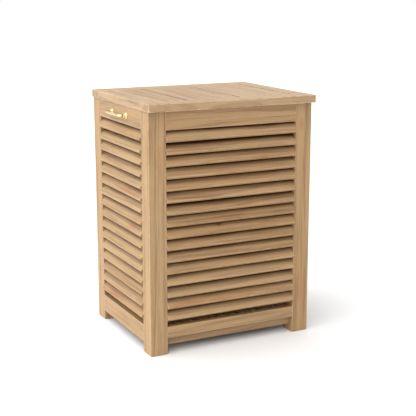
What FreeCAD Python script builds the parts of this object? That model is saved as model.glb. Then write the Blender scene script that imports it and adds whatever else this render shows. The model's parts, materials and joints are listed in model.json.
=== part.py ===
"""A louvred teak laundry hamper with a hinged plank lid.

Frame: X across the front, left to right; Y from the front to the back; Z up. The origin is on the floor,
under the centre of the four legs. Lengths are in millimetres and angles in degrees.
"""

import FreeCAD, Part
import os
import re
from collections import namedtuple
from FreeCAD import Placement, Rotation, Vector

SIZES = (
    # The box of legs and rails
    ("box_width", 475, "across the outer faces of the legs, left to right"),
    ("box_depth", 382, "across the outer faces of the legs, front to back"),
    ("leg_height", 639, "floor to the top of the legs"),
    ("leg_side", 48, "side of the square leg"),
    ("leg_round", 1.5, "rounding of a leg's outer corner"),
    ("foot_round", 1, "rounding round the bottom of a leg"),
    ("rail_height", 48, "height of the top rails"),
    ("rail_thickness", 18, "thickness of every rail"),
    ("rail_ease", 0.8, "rounding along a rail's edges"),
    ("low_rail_top", 75, "floor to the top of the bottom rails"),
    ("side_low_rail_height", 48, "height of the left and right bottom rails"),
    ("long_low_rail_height", 29.5, "height of the front and rear bottom rails"),
    ("tenon_length", 20, "how far a rail's tenon reaches into a leg"),
    ("tenon_thickness", 8, "thickness of a rail's tenon"),
    ("tenon_shoulder", 6, "rail left above and below its tenon"),
    ("joint_clearance", 0.15, "gap round a tenon, a tongue or a screw hole in wood"),
    # The floor of the box
    ("bearer_bottom", 20, "floor to the underside of the deck bearers"),
    ("bearer_height", 40, "height of the deck bearers"),
    ("bearer_thickness", 18, "thickness of the deck bearers"),
    ("deck_thickness", 12, "thickness of the deck boards"),
    ("deck_gap", 6, "gap between deck boards"),
    ("deck_edge_gap", 0.5, "gap between the deck and the wood round it"),
    ("deck_screw_inset", 12, "deck screw to the long edge of its board"),
    # The louvres
    ("slat_thickness", 9, "thickness of a louvre slat"),
    ("slat_tilt", 39, "lean of a slat from upright, its top inwards"),
    ("slat_proud", 6.8, "how far a slat's nose stands out of the legs' outer face"),
    ("slat_ease", 0.9, "rounding along a slat's edges"),
    ("slat_edge_gap", 0.12, "slat's top edge up to the level of the underside above it"),
    ("loose_tilt", 5, "extra lean of the few slats that were set deeper"),
    ("stub_length", 8, "how far a slat's stub tenon reaches into a leg"),
    ("stub_thickness", 5, "thickness of the stub tenon"),
    ("stub_nose_margin", 12, "slat's nose to its stub tenon"),
    ("stub_back_margin", 5, "slat's stub tenon to its top edge"),
    # The lid
    ("lid_gap", 0.5, "gap between the closed lid and the rails"),
    ("lid_thickness", 20.5, "thickness of the lid"),
    ("lid_overhang_front", 15, "lid past the legs' front face, the finger lip"),
    ("lid_overhang_side", 4, "lid past the legs' side faces"),
    ("lid_overhang_rear", 1, "lid past the legs' rear face"),
    ("lid_frame_width", 47.5, "width of the lid's rails and stiles"),
    ("lid_round", 2, "rounding round the top and corners of the lid"),
    ("plank_ease", 1.2, "rounding along the planks' top edges"),
    ("tight_joint", 0.6, "gap at every second plank joint"),
    ("open_joint", 3, "gap at the other plank joints"),
    ("tongue_length", 8, "plank's tongue into the lid's rails"),
    ("tongue_thickness", 6, "thickness of the tongue"),
    ("stile_tenon_length", 24, "stile's tenon into the lid's rails"),
    ("stile_shoulder", 7, "stile left each side of its tenon"),
    # The hinges
    ("hinge_spacing", 300, "middle of one hinge to the middle of the other"),
    ("hinge_length", 50, "length of a hinge"),
    ("leaf_width", 15, "width of leaf let into the wood"),
    ("leaf_thickness", 1.5, "thickness of a leaf"),
    ("knuckle_radius", 4, "outer radius of the hinge barrel"),
    ("outer_knuckle", 15, "length of each of the box leaf's two knuckles"),
    ("knuckle_gap", 0.3, "gap between knuckles along the pin"),
    ("swing_gap", 0.4, "gap round a turning knuckle"),
    ("hinge_wood_gap", 0.5, "lid's rear face to the hinge barrel"),
    ("pin_radius", 1.75, "radius of the hinge pin"),
    ("pin_clearance", 0.04, "radial gap between pin and knuckle"),
    ("pin_cap_radius", 3, "radius of the pin's end caps"),
    ("pin_cap_length", 1.2, "length of the pin's end caps"),
    ("stop_angle", 100, "how far the lid opens before its lug meets the stop"),
    ("lug_thickness", 2, "thickness of the stop lug on the lid's knuckle"),
    ("lug_reach", 9.5, "stop lug's tip from the pin's axis"),
    ("stop_gap", 0.15, "gap between lug and stop with the lid fully open"),
    ("stop_height", 4, "height of the stop pad"),
    ("hinge_screw_spacing", 17, "between the screws of a leaf"),
    ("hinge_screw_length", 13, "length of a hinge screw"),
    ("hinge_screw_radius", 1.5, "shank radius of a hinge screw"),
    ("hinge_head_radius", 3, "head radius of a hinge screw"),
    # The handles
    ("handle_spacing", 96, "between the two feet of a handle"),
    ("handle_standoff", 19, "rail's face to the axis of the bar"),
    ("bar_radius", 3.25, "radius of the bent bar"),
    ("bar_bend", 7, "bend radius of the bar's axis"),
    ("rose_radius", 10, "radius of the rose round a handle's foot"),
    ("rose_rim", 1.5, "height of the rose's rim"),
    ("rose_height", 8, "height of the whole rose"),
    ("rose_neck_radius", 5, "radius of the rose's neck"),
    ("rose_clearance", 0.1, "radial gap between rose and bar"),
    ("handle_screw_radius", 2, "shank radius of the screw that holds the bar"),
    ("handle_screw_bite", 9, "how far that screw goes into the bar"),
    ("handle_head_radius", 4, "head radius of that screw"),
    ("handle_head_height", 2.6, "head height of that screw"),
    ("handle_hole_clearance", 0.25, "radial gap round that screw in the rail"),
    # Deck screws
    ("deck_screw_length", 28, "length of a deck screw"),
    ("deck_screw_radius", 1.8, "shank radius of a deck screw"),
    ("deck_head_radius", 3.6, "head radius of a deck screw"),
    ("screw_point", 3.5, "length of a wood screw's point"),
    ("screw_seat_gap", 0.03, "gap round a screw in its own hole"),
)

SLAT_COUNT = 16
SLATS_PER_NODE = 4
DECK_BOARDS = 7
PLANKS = 5
HINGE_SCREWS = (-1, 0, 1)

Panel = namedtuple("Panel", "name span plane turn low_rail loose")
PANELS = (
    Panel("front", "box_width", "box_depth / 2", 0, "long_low_rail_height", (2, 7, 14)),
    Panel("right", "box_depth", "box_width / 2", 90, "side_low_rail_height", (9,)),
    Panel("rear", "box_width", "box_depth / 2", 180, "long_low_rail_height", (5, 12)),
    Panel("left", "box_depth", "box_width / 2", 270, "side_low_rail_height", (2,)),
)
HANDLED = ("left", "right")

# Lengths worked out from the sheet
TOP_RAIL_BOTTOM = "(leg_height - rail_height)"
PITCH = f"(({TOP_RAIL_BOTTOM} - low_rail_top) / ({SLAT_COUNT} + 0.5))"
SLAT_DROP = "(slat_thickness * sin(slat_tilt))"
SLAT_WIDTH = f"(({PITCH} - {SLAT_DROP} - slat_edge_gap) / cos(slat_tilt))"
STUB_WIDTH = f"({SLAT_WIDTH} - stub_nose_margin - stub_back_margin)"
DECK_TOP = "(bearer_bottom + bearer_height + deck_thickness)"
DECK_WIDTH = "(box_width - 2 * rail_thickness - 2 * deck_edge_gap)"
DECK_LENGTH = "(box_depth - 2 * rail_thickness - 2 * deck_edge_gap)"
DECK_BOARD = f"(({DECK_WIDTH} - {DECK_BOARDS - 1} * deck_gap) / {DECK_BOARDS})"
LID_BOTTOM = "(leg_height + lid_gap)"
LID_FRONT = "(-box_depth / 2 - lid_overhang_front)"
LID_REAR = "(box_depth / 2 + lid_overhang_rear)"
LID_WIDTH = "(box_width + 2 * lid_overhang_side)"
LID_DEPTH = f"({LID_REAR} - {LID_FRONT})"
STILE_LENGTH = f"({LID_DEPTH} - 2 * lid_frame_width)"
PANEL_WIDTH = f"({LID_WIDTH} - 2 * lid_frame_width)"
TIGHT_JOINTS = (PLANKS + 2) // 2
OPEN_JOINTS = PLANKS + 1 - TIGHT_JOINTS
PLANK_WIDTH = f"(({PANEL_WIDTH} - {TIGHT_JOINTS} * tight_joint - {OPEN_JOINTS} * open_joint) / {PLANKS})"
TONGUE_BOTTOM = f"({LID_BOTTOM} + (lid_thickness - tongue_thickness) / 2)"
HINGE_Y = f"({LID_REAR} + hinge_wood_gap + knuckle_radius)"
HINGE_Z = "(leg_height + lid_gap / 2)"
LEAF_EDGE = f"({HINGE_Y} - knuckle_radius - swing_gap)"
LEAF_INNER = "(box_depth / 2 - leaf_width)"
MIDDLE_KNUCKLE = "(hinge_length - 2 * outer_knuckle - 2 * knuckle_gap)"
HANDLE_Z = "(leg_height - rail_height / 2)"

X_AXIS = Vector(1, 0, 0)
Y_AXIS = Vector(0, 1, 0)
Z_AXIS = Vector(0, 0, 1)
UP = Rotation()
DOWN = Rotation(X_AXIS, 180)
ALONG_X = Rotation(Y_AXIS, 90)
ALONG_MINUS_Y = Rotation(X_AXIS, 90)

doc = FreeCAD.newDocument("LaundryHamper")
sheet = doc.addObject("Spreadsheet::Sheet", "Sizes")
for row, (alias, value, meaning) in enumerate(SIZES, 1):
    sheet.set(f"A{row}", alias)
    sheet.set(f"B{row}", str(value))
    sheet.setAlias(f"B{row}", alias)
    sheet.set(f"C{row}", meaning)
doc.recompute()

ALIASES = re.compile(r"\b(%s)\b" % "|".join(alias for alias, _, _ in SIZES))
UNIT_BOX = Part.makeBox(1, 1, 1)
nodes = {}


def bind(thing, **texts):
    """Binds properties to expressions in the sheet's aliases; x, y and z are the place."""
    for name, text in texts.items():
        path = f"Placement.Base.{name}" if name in ("x", "y", "z") else name
        thing.setExpression(path, ALIASES.sub(r"Sizes.\1", str(text)))
    return thing


def lean_back(thing, angle):
    """Binds how far an upright thing leans towards +Y, about X, to an expression that stays positive."""
    thing.Placement = Placement(Vector(), Rotation(-X_AXIS, 1))
    thing.setExpression("Placement.Rotation.Angle", ALIASES.sub(r"Sizes.\1", angle))


def add(kind, label, place=(0, 0, 0), turned=UP, **texts):
    """A document object turned about its own origin, which stands at place."""
    thing = doc.addObject(kind, label)
    thing.Label = label
    thing.Placement = Placement(Vector(), turned)
    return bind(thing, **dict(zip("xyz", place)), **texts)


def block(label, size, corner):
    """A box from its lowest corner."""
    length, width, height = size
    return add("Part::Box", label, corner, Length=length, Width=width, Height=height)


def rod(label, radius, length, start, turned):
    """A cylinder from the centre of its first end."""
    return add("Part::Cylinder", label, start, turned, Radius=radius, Height=length)


def cone(label, first, last, length, start, turned):
    """A cone from the centre of its first end."""
    return add("Part::Cone", label, start, turned, Radius1=first, Radius2=last, Height=length)


def eased(box, **rounded):
    """A box with rounded edges: for each radius's alias, the spots of its edges.

    A spot is low (0) or high (1) in x, y and z, with None along the edge.
    """
    chosen = []
    for alias, spots in rounded.items():
        radius = sheet.get(alias)
        for spot in spots:
            middle = Vector(*(0.5 if part is None else part for part in spot))
            for number, edge in enumerate(UNIT_BOX.Edges, 1):
                if edge.CenterOfMass.isEqual(middle, 1e-6):
                    chosen.append((number, radius, radius))
    result = doc.addObject("Part::Fillet", f"{box.Label}_eased")
    result.Base = box
    result.Edges = chosen
    return result


def fused(label, *shapes):
    """One solid from several that overlap."""
    result = add("Part::MultiFuse", label)
    result.Shapes = list(shapes)
    return result


def gathered(label, shapes):
    """Several separate solids as one object."""
    result = add("Part::Compound", label)
    result.Links = list(shapes)
    return result


def cut(label, base, tool):
    """The base with the tool's space taken out."""
    result = add("Part::Cut", label)
    result.Base = base
    result.Tool = tool
    return result


def node(shape, label, turn=0):
    """Names a finished sub-part and turns it about the origin's upright axis."""
    shape.Label = label
    if turn:
        shape.Placement = Placement(Vector(), Rotation(Z_AXIS, turn))
    nodes[label] = shape
    return shape


LONG_EDGES = ((None, 0, 0), (None, 0, 1), (None, 1, 0), (None, 1, 1))
FOOT_EDGES = ((None, 0, 0), (None, 1, 0), (0, None, 0), (1, None, 0))
TOP_SIDES = ((0, None, 1), (1, None, 1))


def wood_screw(label, place, turned, head, shank, length, gap="0"):
    """A countersunk screw from the middle of its head; a gap makes the space that it fills."""
    if gap == "0":
        point_length, tip = "screw_point", f"{shank} / 6"
    else:
        point_length, tip = f"(screw_point + {gap})", f"{shank} / 6 + {gap}"
    sink = f"({head} - {shank})"
    parts = [
        cone(f"{label}_head", f"{head} + {gap}", f"{shank} + {gap}", sink, ("0",) * 3, UP),
        rod(f"{label}_shank", f"{shank} + {gap}", f"{length} - screw_point", ("0",) * 3, UP),
        cone(f"{label}_point", f"{shank} + {gap}", tip, point_length,
             ("0", "0", f"{length} - screw_point"), UP),
    ]
    screw = fused(label, *parts)
    screw.Placement = Placement(Vector(), turned)
    return bind(screw, **dict(zip("xyz", place)))


def screws_and_seats(label, places, turned, head, shank, length):
    """A group of screws, and the group of holes that they sit in."""
    screws, seats = [], []
    for number, place in enumerate(places, 1):
        screws.append(wood_screw(f"{label}_{number}", place, turned, head, shank, length))
        seats.append(wood_screw(f"{label}_seat_{number}", place, turned, head, shank, length,
                                "screw_seat_gap"))
    return gathered(label, screws), gathered(f"{label}_seats", seats)


def tenoned_board(label, panel, thickness, height, setback, bottom):
    """A board between two legs with a tenon at each end, and the slot that its tenons need."""
    clear = f"({panel.span} - 2 * leg_side)"
    face = f"(-{panel.plane} + {setback})"
    board = block(f"{label}_board", (clear, thickness, height), (f"-{clear} / 2", face, bottom))
    tenon_y = f"{face} + ({thickness} - tenon_thickness) / 2"
    tenon = block(
        f"{label}_tenon",
        (f"{clear} + 2 * tenon_length", "tenon_thickness", f"{height} - 2 * tenon_shoulder"),
        (f"-{clear} / 2 - tenon_length", tenon_y, f"{bottom} + tenon_shoulder"),
    )
    slot = block(
        f"{label}_slot",
        (f"{clear} + 2 * tenon_length + 2 * joint_clearance", "tenon_thickness + 2 * joint_clearance",
         f"{height} - 2 * tenon_shoulder + 2 * joint_clearance"),
        (f"-{clear} / 2 - tenon_length - joint_clearance", f"{tenon_y} - joint_clearance",
         f"{bottom} + tenon_shoulder - joint_clearance"),
    )
    return fused(label, eased(board, rail_ease=LONG_EDGES), tenon), slot


def slat_blanks(panel):
    """The slat for one panel, and its stub tenons' slot: nose along X, face at -Y, as cut and upright."""
    clear = f"({panel.span} - 2 * leg_side)"
    board = block(f"{panel.name}_slat_board", (clear, "slat_thickness", SLAT_WIDTH),
                  (f"-{clear} / 2", "0", "0"))
    stub_y = "(slat_thickness - stub_thickness) / 2"
    stub = block(
        f"{panel.name}_slat_stub",
        (f"{clear} + 2 * stub_length", "stub_thickness", STUB_WIDTH),
        (f"-{clear} / 2 - stub_length", stub_y, "stub_nose_margin"),
    )
    slot = block(
        f"{panel.name}_slat_slot",
        (f"{clear} + 2 * stub_length + 2 * joint_clearance", "stub_thickness + 2 * joint_clearance",
         f"{STUB_WIDTH} + 2 * joint_clearance"),
        (f"-{clear} / 2 - stub_length - joint_clearance", f"{stub_y} - joint_clearance",
         "stub_nose_margin - joint_clearance"),
    )
    return eased(board, slat_ease=LONG_EDGES), stub, slot


def lean(thing, panel, number):
    """Stands a slat or its slot at its place in the panel, leaning in."""
    extra = " + loose_tilt" if number in panel.loose else ""
    lean_back(thing, f"(slat_tilt{extra})")
    return bind(thing, y=f"-{panel.plane} - slat_proud",
                z=f"{TOP_RAIL_BOTTOM} - {number} * {PITCH} + {SLAT_DROP}")


def build_panel(panel):
    """The rails and slats of one side; returns the slots that its legs need."""
    top, top_slot = tenoned_board(f"{panel.name}_top_rail", panel, "rail_thickness", "rail_height",
                                  "0", TOP_RAIL_BOTTOM)
    low, low_slot = tenoned_board(f"{panel.name}_bottom_rail", panel, "rail_thickness", panel.low_rail,
                                  "0", f"(low_rail_top - {panel.low_rail})")
    slots = [top_slot, low_slot]
    board, stub, slot = slat_blanks(panel)
    slats = []
    for number in range(1, SLAT_COUNT + 1):
        slats.append(lean(fused(f"{panel.name}_slat_{number:02d}", board, stub), panel, number))
        slots.append(lean(gathered(f"{panel.name}_slot_{number:02d}", [slot]), panel, number))
    for first in range(0, SLAT_COUNT, SLATS_PER_NODE):
        group = slats[first:first + SLATS_PER_NODE]
        label = f"{panel.name}_slats_{first + 1:02d}_{first + len(group):02d}"
        node(gathered(label, group), label, panel.turn)
    node(low, f"{panel.name}_bottom_rail", panel.turn)
    return top, slots


def build_bearer(panel):
    """The board behind a long bottom rail that carries the deck; returns it and its slot."""
    return tenoned_board(f"{panel.name}_deck_bearer", panel, "bearer_thickness", "bearer_height",
                         "rail_thickness", "bearer_bottom")


def build_handle(panel):
    """A bent bar on two roses, outside one side's top rail; returns the holes that the rail needs."""
    face = f"(-{panel.plane})"
    foot = "(handle_spacing / 2)"
    bar_y = f"({face} - handle_standoff)"
    shank = "(rail_thickness + handle_screw_bite)"
    bar = [rod(f"{panel.name}_grip", "bar_radius", "handle_spacing - 2 * bar_bend",
               (f"-{foot} + bar_bend", bar_y, HANDLE_Z), ALONG_X)]
    roses, screws, holes, seats = [], [], [], []
    for side, word, turn in ((-1, "first", 180), (1, "last", -90)):
        name = f"{panel.name}_{word}"
        place = (f"{side} * {foot}", face, HANDLE_Z)
        bar.append(rod(f"{name}_post", "bar_radius", "handle_standoff - bar_bend", place, ALONG_MINUS_Y))
        bar.append(add("Part::Torus", f"{name}_bend",
                       (f"{side} * ({foot} - bar_bend)", f"{bar_y} + bar_bend", HANDLE_Z),
                       Rotation(Z_AXIS, turn), Radius1="bar_bend", Radius2="bar_radius", Angle3="90"))
        rim = rod(f"{name}_rim", "rose_radius", "rose_rim", place, ALONG_MINUS_Y)
        bell_start = (place[0], f"{face} - rose_rim", HANDLE_Z)
        bell = cone(f"{name}_bell", "rose_radius - rose_rim / 2", "rose_neck_radius",
                    "rose_height - 2 * rose_rim", bell_start, ALONG_MINUS_Y)
        neck_start = (place[0], f"{face} - rose_height + rose_rim", HANDLE_Z)
        neck = rod(f"{name}_neck", "rose_neck_radius", "rose_rim", neck_start, ALONG_MINUS_Y)
        bore = rod(f"{name}_bore", "bar_radius + rose_clearance", "rose_height", place, ALONG_MINUS_Y)
        roses.append(cut(f"{name}_rose", fused(f"{name}_rose_body", rim, bell, neck), bore))
        inside = (place[0], f"{face} + rail_thickness", HANDLE_Z)
        head_start = (place[0], f"{face} + rail_thickness + handle_head_height", HANDLE_Z)
        screws.append(fused(
            f"{name}_screw",
            rod(f"{name}_screw_shank", "handle_screw_radius", shank, inside, ALONG_MINUS_Y),
            rod(f"{name}_screw_head", "handle_head_radius", "handle_head_height", head_start,
                ALONG_MINUS_Y),
        ))
        holes.append(rod(f"{name}_hole", "handle_screw_radius + handle_hole_clearance", shank, inside,
                         ALONG_MINUS_Y))
        seats.append(rod(f"{name}_thread", "handle_screw_radius + screw_seat_gap",
                         f"{shank} + screw_seat_gap", inside, ALONG_MINUS_Y))
    body = fused(f"{panel.name}_bar_body", *bar)
    node(cut(f"{panel.name}_handle_bar", body, gathered(f"{panel.name}_threads", seats)),
         f"{panel.name}_handle_bar", panel.turn)
    node(gathered(f"{panel.name}_handle_roses", roses), f"{panel.name}_handle_roses", panel.turn)
    screws = gathered(f"{panel.name}_handle_screws", screws)
    screws.Placement = Placement(Vector(), Rotation(Z_AXIS, panel.turn))
    return gathered(f"{panel.name}_handle_holes", holes), screws


def build_legs(slots):
    """Four legs, each cut for the rails and slats of the two panels that meet there."""
    across = ((0, "left", "-box_width / 2"), (1, "right", "box_width / 2 - leg_side"))
    deep = ((0, "front", "-box_depth / 2"), (1, "rear", "box_depth / 2 - leg_side"))
    for side, left_or_right, x in across:
        for end, front_or_rear, y in deep:
            label = f"{front_or_rear}_{left_or_right}_leg"
            post = block(f"{label}_post", ("leg_side", "leg_side", "leg_height"), (x, y, "0"))
            rounded = eased(post, leg_round=((side, end, None),), foot_round=FOOT_EDGES)
            cuts = [slots[front_or_rear], slots[left_or_right]]
            node(cut(label, rounded, gathered(f"{label}_slots", cuts)), label)


def build_deck(bearers, leg_posts):
    """Boards from front to back on the two bearers, the outer ones notched round the legs."""
    places, boards = [], []
    for number in range(DECK_BOARDS):
        left = f"(-{DECK_WIDTH} / 2 + {number} * ({DECK_BOARD} + deck_gap))"
        board = block(f"deck_blank_{number + 1}", (DECK_BOARD, DECK_LENGTH, "deck_thickness"),
                      (left, f"-{DECK_LENGTH} / 2", f"{DECK_TOP} - deck_thickness"))
        board = eased(board, rail_ease=TOP_SIDES)
        if number in (0, DECK_BOARDS - 1):
            board = cut(f"deck_notched_{number + 1}", board, leg_posts)
        boards.append(board)
        screw_x = [f"{left} + deck_screw_inset", f"{left} + {DECK_BOARD} - deck_screw_inset"]
        if number == 0:
            screw_x = [f"({screw_x[1]})"]
        elif number == DECK_BOARDS - 1:
            screw_x = [f"({screw_x[0]})"]
        for y in ("(-box_depth / 2 + rail_thickness + bearer_thickness / 2)",
                  "(box_depth / 2 - rail_thickness - bearer_thickness / 2)"):
            places += [(x, y, DECK_TOP) for x in screw_x]
    screws, seats = screws_and_seats("deck_screws", places, DOWN, "deck_head_radius",
                                     "deck_screw_radius", "deck_screw_length")
    node(screws, "deck_screws")
    for number, board in enumerate(boards, 1):
        node(cut(f"deck_board_{number}", board, seats), f"deck_board_{number}")
    for label, bearer in bearers.items():
        node(cut(label, bearer, seats), label)


def build_lid(leaf_seats, screw_seats):
    """A frame of two rails and two stiles round five planks that run from front to back."""
    tongue_gap = "(tongue_thickness + 2 * joint_clearance)"
    for name, y, end in (("front", LID_FRONT, 0), ("rear", f"({LID_REAR} - lid_frame_width)", 1)):
        inner = f"({y} + lid_frame_width)" if end == 0 else y
        blank = block(f"lid_{name}_blank", (LID_WIDTH, "lid_frame_width", "lid_thickness"),
                      (f"-{LID_WIDTH} / 2", y, LID_BOTTOM))
        outer_edges = ((None, end, 1), *TOP_SIDES, (0, end, None), (1, end, None))
        shape = eased(blank, lid_round=outer_edges)
        groove_depth = "(tongue_length + joint_clearance)"
        mortise_depth = "(stile_tenon_length + joint_clearance)"
        groove_y = f"{inner} - {groove_depth}" if end == 0 else inner
        mortise_y = f"{inner} - {mortise_depth}" if end == 0 else inner
        tools = [block(f"lid_{name}_groove", (PANEL_WIDTH, groove_depth, tongue_gap),
                       (f"-{PANEL_WIDTH} / 2", groove_y, f"{TONGUE_BOTTOM} - joint_clearance"))]
        for side, word in ((0, "left"), (1, "right")):
            x = f"-{LID_WIDTH} / 2" if side == 0 else f"{PANEL_WIDTH} / 2"
            tools.append(block(
                f"lid_{name}_{word}_mortise",
                ("lid_frame_width - 2 * stile_shoulder + 2 * joint_clearance", mortise_depth, tongue_gap),
                (f"{x} + stile_shoulder - joint_clearance", mortise_y,
                 f"{TONGUE_BOTTOM} - joint_clearance"),
            ))
        if end == 1:
            tools += [leaf_seats, screw_seats]
        node(cut(f"lid_{name}_rail", shape, gathered(f"lid_{name}_tools", tools)), f"lid_{name}_rail")
    stile_y = f"({LID_FRONT} + lid_frame_width)"
    for side, word, x in ((0, "left", f"-{LID_WIDTH} / 2"), (1, "right", f"{PANEL_WIDTH} / 2")):
        blank = block(f"lid_{word}_blank", ("lid_frame_width", STILE_LENGTH, "lid_thickness"),
                      (x, stile_y, LID_BOTTOM))
        tenon = block(f"lid_{word}_tenon",
                      ("lid_frame_width - 2 * stile_shoulder", f"{STILE_LENGTH} + 2 * stile_tenon_length",
                       "tongue_thickness"),
                      (f"{x} + stile_shoulder", f"{stile_y} - stile_tenon_length", TONGUE_BOTTOM))
        label = f"lid_{word}_stile"
        node(fused(label, eased(blank, lid_round=((side, None, 1),)), tenon), label)
    for number in range(PLANKS):
        tight, wide = number // 2 + 1, (number + 1) // 2
        x = (f"(-{PANEL_WIDTH} / 2 + {tight} * tight_joint + {wide} * open_joint"
             f" + {number} * {PLANK_WIDTH})")
        blank = block(f"plank_{number + 1}_blank", (PLANK_WIDTH, STILE_LENGTH, "lid_thickness"),
                      (x, stile_y, LID_BOTTOM))
        tongue = block(f"plank_{number + 1}_tongue",
                       (PLANK_WIDTH, f"{STILE_LENGTH} + 2 * tongue_length", "tongue_thickness"),
                       (x, f"{stile_y} - tongue_length", TONGUE_BOTTOM))
        label = f"lid_plank_{number + 1}"
        node(fused(label, eased(blank, plank_ease=TOP_SIDES), tongue), label)


def hinge_parts(name, middle):
    """One butt hinge with a stop: the box's leaf, the lid's leaf, the pin, and the leaves' seats."""
    left = f"({middle} - hinge_length / 2)"
    knuckle_starts = (left, f"({middle} + hinge_length / 2 - outer_knuckle)")
    centre = f"({middle} - {MIDDLE_KNUCKLE} / 2)"
    box_z, lid_z = "(leg_height - leaf_thickness)", LID_BOTTOM
    hole = rod(f"{name}_pin_hole", "pin_radius + pin_clearance", "hinge_length",
               (left, HINGE_Y, HINGE_Z), ALONG_X)

    plate = (f"{LEAF_EDGE} - {LEAF_INNER}", "leaf_thickness")
    finger = (f"{HINGE_Y} - {LEAF_INNER}", "leaf_thickness")
    box_parts = [block(f"{name}_box_plate", ("hinge_length", *plate), (left, LEAF_INNER, box_z))]
    for number, start in enumerate(knuckle_starts, 1):
        box_parts.append(block(f"{name}_box_finger_{number}", ("outer_knuckle", *finger),
                               (start, LEAF_INNER, box_z)))
        box_parts.append(rod(f"{name}_box_knuckle_{number}", "knuckle_radius", "outer_knuckle",
                             (start, HINGE_Y, HINGE_Z), ALONG_X))
    stop_top = f"({HINGE_Z} - knuckle_radius - swing_gap)"
    stop_bottom = f"({stop_top} - stop_height)"
    wall = "(box_depth / 2 + screw_seat_gap)"
    web_height = f"({box_z} - {stop_bottom} + leaf_thickness / 2)"
    pad_depth = f"({HINGE_Y} - lug_thickness / 2 - stop_gap - {wall})"
    box_parts.append(block(f"{name}_stop_web", (MIDDLE_KNUCKLE, f"{LEAF_EDGE} - {wall}", web_height),
                           (centre, wall, stop_bottom)))
    box_parts.append(block(f"{name}_stop_pad", (MIDDLE_KNUCKLE, pad_depth, "stop_height"),
                           (centre, wall, stop_bottom)))

    lug = add("Part::Box", f"{name}_lug", (centre, HINGE_Y, HINGE_Z),
              Length=MIDDLE_KNUCKLE, Width="lug_thickness", Height="lug_reach")
    lug_lean = "(180 - stop_angle)"
    lean_back(lug, lug_lean)
    bind(lug, x=centre, y=f"{HINGE_Y} - lug_thickness / 2 * cos{lug_lean}",
         z=f"{HINGE_Z} + lug_thickness / 2 * sin{lug_lean}")
    lid_parts = [
        block(f"{name}_lid_plate", ("hinge_length", *plate), (left, LEAF_INNER, lid_z)),
        block(f"{name}_lid_finger", (MIDDLE_KNUCKLE, *finger), (centre, LEAF_INNER, lid_z)),
        rod(f"{name}_lid_knuckle", "knuckle_radius", MIDDLE_KNUCKLE, (centre, HINGE_Y, HINGE_Z), ALONG_X),
        lug,
    ]
    pin = fused(
        f"{name}_pin",
        rod(f"{name}_pin_shaft", "pin_radius", "hinge_length", (left, HINGE_Y, HINGE_Z), ALONG_X),
        rod(f"{name}_pin_cap_1", "pin_cap_radius", "pin_cap_length",
            (f"{left} - pin_cap_length", HINGE_Y, HINGE_Z), ALONG_X),
        rod(f"{name}_pin_cap_2", "pin_cap_radius", "pin_cap_length",
            (f"{left} + hinge_length", HINGE_Y, HINGE_Z), ALONG_X),
    )
    node(pin, f"{name}_pin")
    seat = ("hinge_length + 2 * joint_clearance", "leaf_width + joint_clearance + lid_overhang_rear",
            "leaf_thickness")
    seat_x, seat_y = f"{left} - joint_clearance", f"{LEAF_INNER} - joint_clearance"
    box_seat = block(f"{name}_box_seat", seat, (seat_x, seat_y, box_z))
    lid_seat = block(f"{name}_lid_seat", seat, (seat_x, seat_y, lid_z))
    box_leaf = cut(f"{name}_box_leaf_bored", fused(f"{name}_box_leaf_body", *box_parts), hole)
    lid_leaf = cut(f"{name}_lid_leaf_bored", fused(f"{name}_lid_leaf_body", *lid_parts), hole)
    return box_leaf, lid_leaf, box_seat, lid_seat


def build_hinges():
    """Both hinges and their screws; returns what the box's rear rail and the lid's rear rail lose."""
    screw_y = f"({LEAF_INNER} + leaf_width / 2)"
    box_places, box_leaves, box_seats = [], [], []
    lid_places, lid_leaves, lid_seats = [], [], []
    for side, word in ((-1, "left"), (1, "right")):
        middle = f"({side} * hinge_spacing / 2)"
        box_leaf, lid_leaf, box_seat, lid_seat = hinge_parts(f"{word}_hinge", middle)
        box_leaves.append((f"{word}_hinge_box_leaf", box_leaf))
        lid_leaves.append((f"{word}_hinge_lid_leaf", lid_leaf))
        box_seats.append(box_seat)
        lid_seats.append(lid_seat)
        for step in HINGE_SCREWS:
            x = f"({middle} + {step} * hinge_screw_spacing)"
            box_places.append((x, screw_y, "leg_height"))
            lid_places.append((x, screw_y, LID_BOTTOM))
    sizes = ("hinge_head_radius", "hinge_screw_radius", "hinge_screw_length")
    box_screws, box_holes = screws_and_seats("hinge_box_screws", box_places, DOWN, *sizes)
    lid_screws, lid_holes = screws_and_seats("hinge_lid_screws", lid_places, UP, *sizes)
    node(box_screws, "hinge_box_screws")
    node(lid_screws, "hinge_lid_screws")
    for label, leaf in box_leaves:
        node(cut(label, leaf, box_holes), label)
    for label, leaf in lid_leaves:
        node(cut(label, leaf, lid_holes), label)
    box_tools = gathered("rear_rail_tools", box_seats + [box_holes])
    return box_tools, gathered("lid_leaf_seats", lid_seats), lid_holes


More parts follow.
